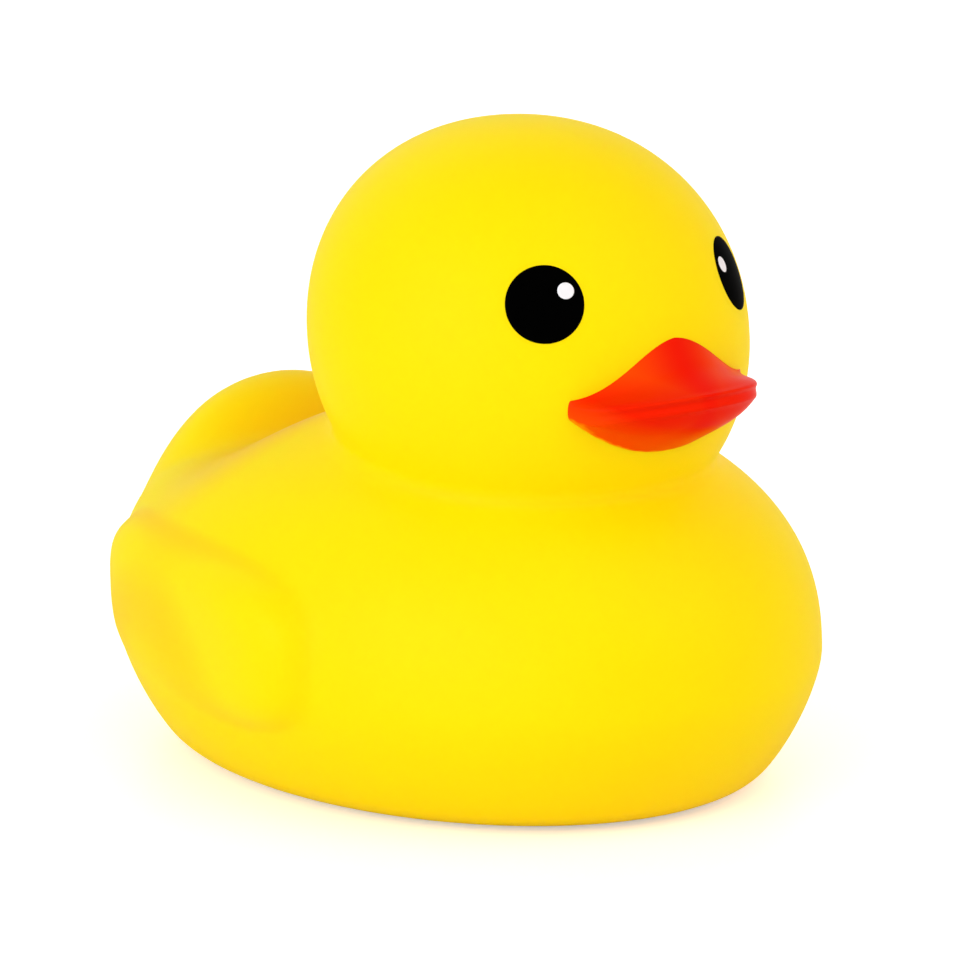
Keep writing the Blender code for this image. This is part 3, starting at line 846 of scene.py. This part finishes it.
studio = {
    "target": (0.2, -3.77, 36.75), "distance": 652.5, "turn": 39.78, "elevation": 12.94,
    "roll": -0.65, "lens": 187.5, "sensor": 36.0,
    "clip": (0.01, 50.0),  # metres
    "floorHalf": 6000.0,
    "floorGap": 0.1,  # under the base, so that the two faces don't lie in one plane
    "fill": 0.4, "floorLift": 0.42,
    # turn, elevation, strength, angle across, colour
    "lamps": {
        "leftKey": (90.0, 25.0, 0.8, 60.0, "#FFFFFF"),
        "leftLow": (75.0, 5.0, 1.15, 60.0, "#FFFFFF"),
        "frontHigh": (0.0, 50.0, 0.45, 60.0, "#FFFFFF"),
        "rightWarm": (-35.0, 32.0, 1.0, 60.0, "#FFD6B4"),
        "backHigh": (180.0, 40.0, 0.4, 60.0, "#FFE8D0"),
    },
}


def makeFloor():
    material, tree = newMaterial("whiteStudioPaper")
    # the eye sees white paper with the duck's soft shadow; only the camera sees the added white
    path = addNode(tree, "ShaderNodeLightPath")
    paper = addNode(tree, "ShaderNodeBsdfPrincipled",
                    {("in", "Base Color"): hexColour("#FAFAFA"), ("in", "Roughness"): 0.45})
    lift = addNode(tree, "ShaderNodeMath",
                   {"operation": "MULTIPLY", ("in", 1): studio["floorLift"]},
                   {0: path.outputs["Is Camera Ray"]})
    glow = addNode(tree, "ShaderNodeEmission", {("in", "Color"): hexColour("#FFFFFF")},
                   {"Strength": lift.outputs[0]})
    both = addNode(tree, "ShaderNodeAddShader", {},
                   {0: paper.outputs["BSDF"], 1: glow.outputs["Emission"]})
    addNode(tree, "ShaderNodeOutputMaterial", {}, {"Surface": both.outputs["Shader"]})
    mesh = bmesh.new()
    bmesh.ops.create_grid(mesh, x_segments=4, y_segments=4, size=studio["floorHalf"] * mm)
    data = bpy.data.meshes.new("studioFloor")
    mesh.to_mesh(data)
    mesh.free()
    data.materials.append(material)
    floor = bpy.data.objects.new("studioFloor", data)
    floor.location.z = -studio["floorGap"] * mm
    bpy.context.scene.collection.objects.link(floor)


def makeWorld():
    world = bpy.data.worlds.new("studioWorld")
    world.use_nodes = True
    bpy.context.scene.world = world
    tree = world.node_tree
    tree.nodes.clear()
    path = addNode(tree, "ShaderNodeLightPath")
    seen = addNode(tree, "ShaderNodeMath", {"operation": "MAXIMUM"},
                   {0: path.outputs["Is Camera Ray"], 1: path.outputs["Is Glossy Ray"]})
    seenAll = addNode(tree, "ShaderNodeMath", {"operation": "MAXIMUM"},
                      {0: seen.outputs[0], 1: path.outputs["Is Transmission Ray"]})
    fill = addNode(tree, "ShaderNodeBackground",
                   {("in", "Color"): hexColour("#FFFFFF"), ("in", "Strength"): studio["fill"]})
    whiteRoom = addNode(tree, "ShaderNodeBackground",
                        {("in", "Color"): hexColour("#FFFFFF"), ("in", "Strength"): 1.0})
    mix = addNode(tree, "ShaderNodeMixShader", {},
                  {"Fac": seenAll.outputs[0], 1: fill.outputs[0], 2: whiteRoom.outputs[0]})
    addNode(tree, "ShaderNodeOutputWorld", {}, {"Surface": mix.outputs["Shader"]})


def aim(thing, place, target):
    thing.location = place
    thing.rotation_euler = (Vector(target) - Vector(place)).to_track_quat("-Z", "Y").to_euler()


def makeLamp(name, turn, elevation, strength, spread, colour):
    # a far, wide source: the floor stays evenly lit. turn 0 lights from -Y, 90 from -X
    data = bpy.data.lights.new(name, "SUN")
    data.energy, data.angle, data.color = strength, math.radians(spread), hexColour(colour)[:3]
    lamp = bpy.data.objects.new(name, data)
    bpy.context.scene.collection.objects.link(lamp)
    a, e = math.radians(turn), math.radians(elevation)
    away = Vector((-math.sin(a) * math.cos(e), -math.cos(a) * math.cos(e), math.sin(e)))
    aim(lamp, away, (0.0, 0.0, 0.0))


makeFloor()
makeWorld()
for name, lamp in studio["lamps"].items():
    makeLamp(name, *lamp)

turn, elevation = math.radians(studio["turn"]), math.radians(studio["elevation"])
towards = Vector((-math.sin(turn) * math.cos(elevation), -math.cos(turn) * math.cos(elevation),
                  math.sin(elevation)))
camera = bpy.data.objects.new("camera", bpy.data.cameras.new("camera"))
bpy.context.scene.collection.objects.link(camera)
camera.data.lens, camera.data.sensor_width = studio["lens"], studio["sensor"]
camera.data.clip_start, camera.data.clip_end = studio["clip"]
target = Vector(studio["target"]) * mm
aim(camera, target + towards * studio["distance"] * mm, target)
camera.rotation_euler.rotate_axis("Z", math.radians(studio["roll"]))
bpy.context.scene.camera = camera
bpy.context.scene.view_settings.view_transform = "Standard"
print("studio made")
